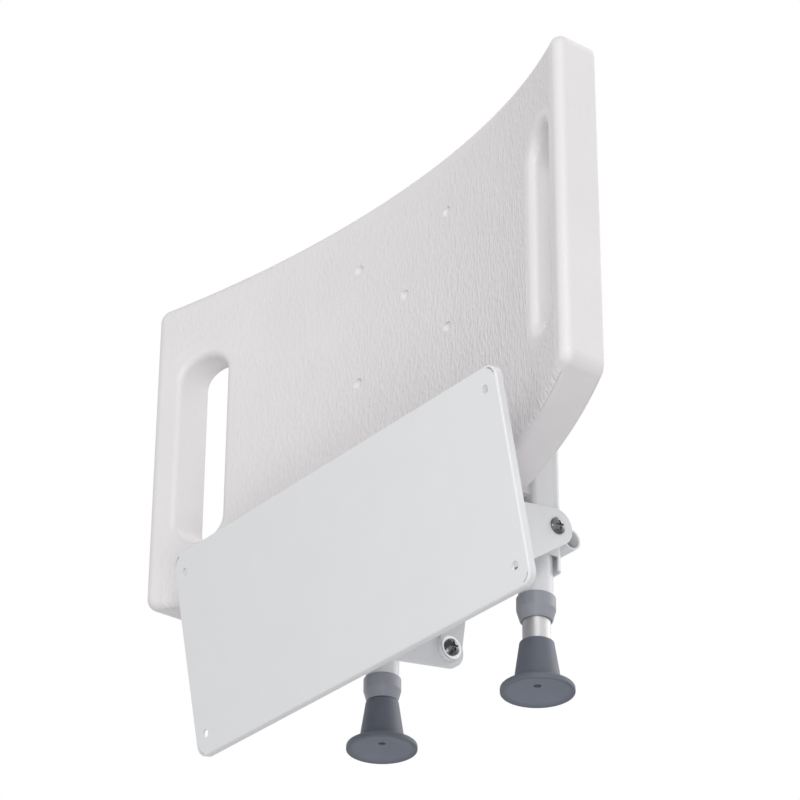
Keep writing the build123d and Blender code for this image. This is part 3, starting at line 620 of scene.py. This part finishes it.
class SHOWERSEAT_OT_steelwork(bpy.types.Operator):
    """Paint the plate, brackets, arms, channels, tubes and stay, and lay their weld beads"""
    bl_idname = "shower_seat.steelwork"
    bl_label = "Painted steelwork"

    def execute(self, context):
        look = context.scene.steel_looks
        paint = powder_coat(look)
        pairs = on_both_sides("hinge_bracket", "seat_arm", "leg_channel", "leg_tube")
        dress(paint, pairs + ["wall_plate", "stay_bracket", "stay_bar", "cross_tube"])
        bead_object("plate_welds", bracket_seams(look.weld), look.weld_pitch, paint, "wall_unit")
        seams = bar_seams("cross_tube", look.weld * CROSS_TUBE_WELD)
        seams += bar_seams("stay_rod", look.weld * STAY_ROD_WELD)
        bead_object("leg_frame_welds", seams, look.weld_pitch, paint, "leg_frame")
        return {"FINISHED"}


class SHOWERSEAT_OT_fasteners(bpy.types.Operator):
    """Plate the bolts, nuts, washers, rivets, stay rod and foot discs, and finish the brass inserts"""
    bl_idname = "shower_seat.fasteners"
    bl_label = "Fasteners"

    def execute(self, context):
        look = context.scene.steel_looks
        names = ["hinge_bolts", "hinge_nuts", "stay_bolt", "stay_nut", "seat_screws", "leg_pivot_bolts",
                 "leg_pivot_nuts", "leg_pivot_spacers", "tube_rivets", "stay_rod"]
        # Fasteners in plating darkened into a painted dark reflection; the washers keep the bright plating
        dress(zinc_plate("dark_zinc", look.painted_reflection_zinc, look), names + on_both_sides("foot_disc"))
        dress(zinc_plate("bright_zinc", look.washer, look), ["hinge_washers", "stay_washer"])
        dress(turned_brass(look), ["seat_inserts"])
        return {"FINISHED"}


class SHOWERSEAT_OT_legs(bpy.types.Operator):
    """Finish the inner tubes, lock collars, feet, bushes and guide plugs"""
    bl_idname = "shower_seat.legs"
    bl_label = "Telescopic legs"

    def execute(self, context):
        look = context.scene.leg_looks
        dress(satin_aluminium(look), on_both_sides("inner_tube"))
        dress(moulded_nylon(look), on_both_sides("lock_collar"))
        dress(foot_rubber(look), on_both_sides("foot"))
        dress(natural_acetal(look), on_both_sides("tube_bush", "guide_plug"))
        return {"FINISHED"}


def studio_camera(studio):
    """Camera at the photograph's place: turned round the target, tipped and rolled."""
    azimuth, elevation = studio.azimuth, studio.elevation
    forward = Vector((-sin(azimuth) * cos(elevation), cos(azimuth) * cos(elevation), -sin(elevation)))
    level = forward.cross(Vector((0, 0, 1))).normalized()
    upright = level.cross(forward)
    right = cos(studio.roll) * level + sin(studio.roll) * upright
    up = cos(studio.roll) * upright - sin(studio.roll) * level
    data = bpy.data.cameras.new("studio_camera")
    data.lens = studio.lens
    data.sensor_width = SENSOR_WIDTH
    data.clip_start, data.clip_end = CLIP_NEAR, CLIP_FAR
    camera = bpy.data.objects.new("studio_camera", data)
    turn = Matrix((right, up, -forward)).transposed().to_4x4()
    camera.matrix_world = Matrix.Translation(Vector(studio.target) - forward * studio.distance) @ turn
    bpy.context.scene.collection.objects.link(camera)
    bpy.context.scene.camera = camera


def studio_world(studio):
    """White surroundings: full white where the camera or a reflection sees them, dimmer as a light."""
    world = bpy.data.worlds.new("studio_world")
    bpy.context.scene.world = world
    graph = Graph(world)
    path = graph.node("ShaderNodeLightPath").outputs
    rays = ("Is Camera Ray", "Is Transmission Ray", "Is Glossy Ray")
    camera, through, glossy = (Value(graph, path[ray]) for ray in rays)
    seen = camera.at_least(through).at_least(glossy)
    strength = studio.ambient + seen * (1 - studio.ambient)
    background = graph.value("ShaderNodeBackground", inputs={"Color": WHITE, "Strength": strength})
    graph.node("ShaderNodeOutputWorld", inputs={"Surface": background})


def soft_lamp(name, place, size, watts):
    """Large square lamp that faces the middle of the seat."""
    data = bpy.data.lights.new(name, "AREA")
    data.shape = "SQUARE"
    data.size = size
    data.energy = watts
    lamp = bpy.data.objects.new(name, data)
    aim = (CAD_BOX[0] + CAD_BOX[1]) / 2 - Vector(place)
    lamp.matrix_world = Matrix.Translation(place) @ aim.to_track_quat("-Z", "Y").to_matrix().to_4x4()
    bpy.context.scene.collection.objects.link(lamp)


def studio_floor(studio):
    """Pale floor, seen only from above so that it never hides the seat from a low camera."""
    corners = np.array([(-1, -1), (1, -1), (1, 1), (-1, 1)]) * FLOOR_REACH
    points = np.column_stack((corners, np.full(len(corners), -studio.floor_drop)))
    mesh = bpy.data.meshes.new("studio_floor")
    mesh.from_pydata(points.tolist(), [], [(0, 1, 2, 3)])
    graph = material_graph("studio_floor")
    grain = graph.noise(graph.places(), size=0.4, detail=3.0)
    tint = graph.shades(grain, studio.floor_colour, dark=0.98, light=1.0)
    pale = graph.value("ShaderNodeBsdfDiffuse", inputs={"Color": tint})
    clear = graph.value("ShaderNodeBsdfTransparent")
    below = graph.value("ShaderNodeNewGeometry", output="Backfacing")
    both = graph.value("ShaderNodeMixShader", inputs={0: below, 1: pale, 2: clear})
    graph.node("ShaderNodeOutputMaterial", inputs={"Surface": both})
    mesh.materials.append(graph.owner)
    floor = bpy.data.objects.new("studio_floor", mesh)
    bpy.context.scene.collection.objects.link(floor)


class SHOWERSEAT_OT_stage(bpy.types.Operator):
    """Set up the camera, the lamps, the white surroundings and the floor"""
    bl_idname = "shower_seat.stage"
    bl_label = "Studio"

    def execute(self, context):
        studio = context.scene.studio
        studio_camera(studio)
        studio_world(studio)
        soft_lamp("key_lamp", place=(1.9, -1.6, 1.1), size=1.6, watts=25.0)
        soft_lamp("wall_side_lamp", place=(-0.3, -2.8, 0.9), size=2.2, watts=8.0)
        soft_lamp("room_side_lamp", place=(0.6, 2.6, 1.4), size=2.2, watts=31.0)
        soft_lamp("low_lamp", place=(1.5, -1.1, -0.9), size=0.8, watts=11.0)
        studio_floor(studio)
        context.scene.view_settings.view_transform = "Standard"
        return {"FINISHED"}


class SHOWERSEAT_PT_sidebar(bpy.types.Panel):
    """Lists the steps and their properties"""
    bl_idname = "SHOWERSEAT_PT_sidebar"
    bl_label = "Shower seat"
    bl_space_type = "VIEW_3D"
    bl_region_type = "UI"
    bl_category = "Shower seat"

    def draw(self, context):
        for step in STEPS:
            self.layout.operator(step.bl_idname)
        for group in LOOKS:
            box = self.layout.box()
            settings = getattr(context.scene, group)
            for name in settings.bl_rna.properties.keys():
                if name not in ("rna_type", "name"):
                    box.prop(settings, name)


LOOKS = {"board_looks": BoardLooks, "steel_looks": SteelLooks, "leg_looks": LegLooks,
         "studio": StudioSettings}
STEPS = (SHOWERSEAT_OT_board, SHOWERSEAT_OT_steelwork, SHOWERSEAT_OT_fasteners, SHOWERSEAT_OT_legs,
         SHOWERSEAT_OT_stage)
CLASSES = (*LOOKS.values(), *STEPS, SHOWERSEAT_PT_sidebar)


def register():
    for cls in CLASSES:
        bpy.utils.register_class(cls)
    for name, group in LOOKS.items():
        setattr(bpy.types.Scene, name, bpy.props.PointerProperty(type=group))


def unregister():
    for name in LOOKS:
        delattr(bpy.types.Scene, name)
    for cls in reversed(CLASSES):
        bpy.utils.unregister_class(cls)


def main():
    register()
    bpy.ops.shower_seat.board()
    bpy.ops.shower_seat.steelwork()
    bpy.ops.shower_seat.fasteners()
    bpy.ops.shower_seat.legs()
    bpy.ops.shower_seat.stage()


if __name__ == "__main__":
    main()
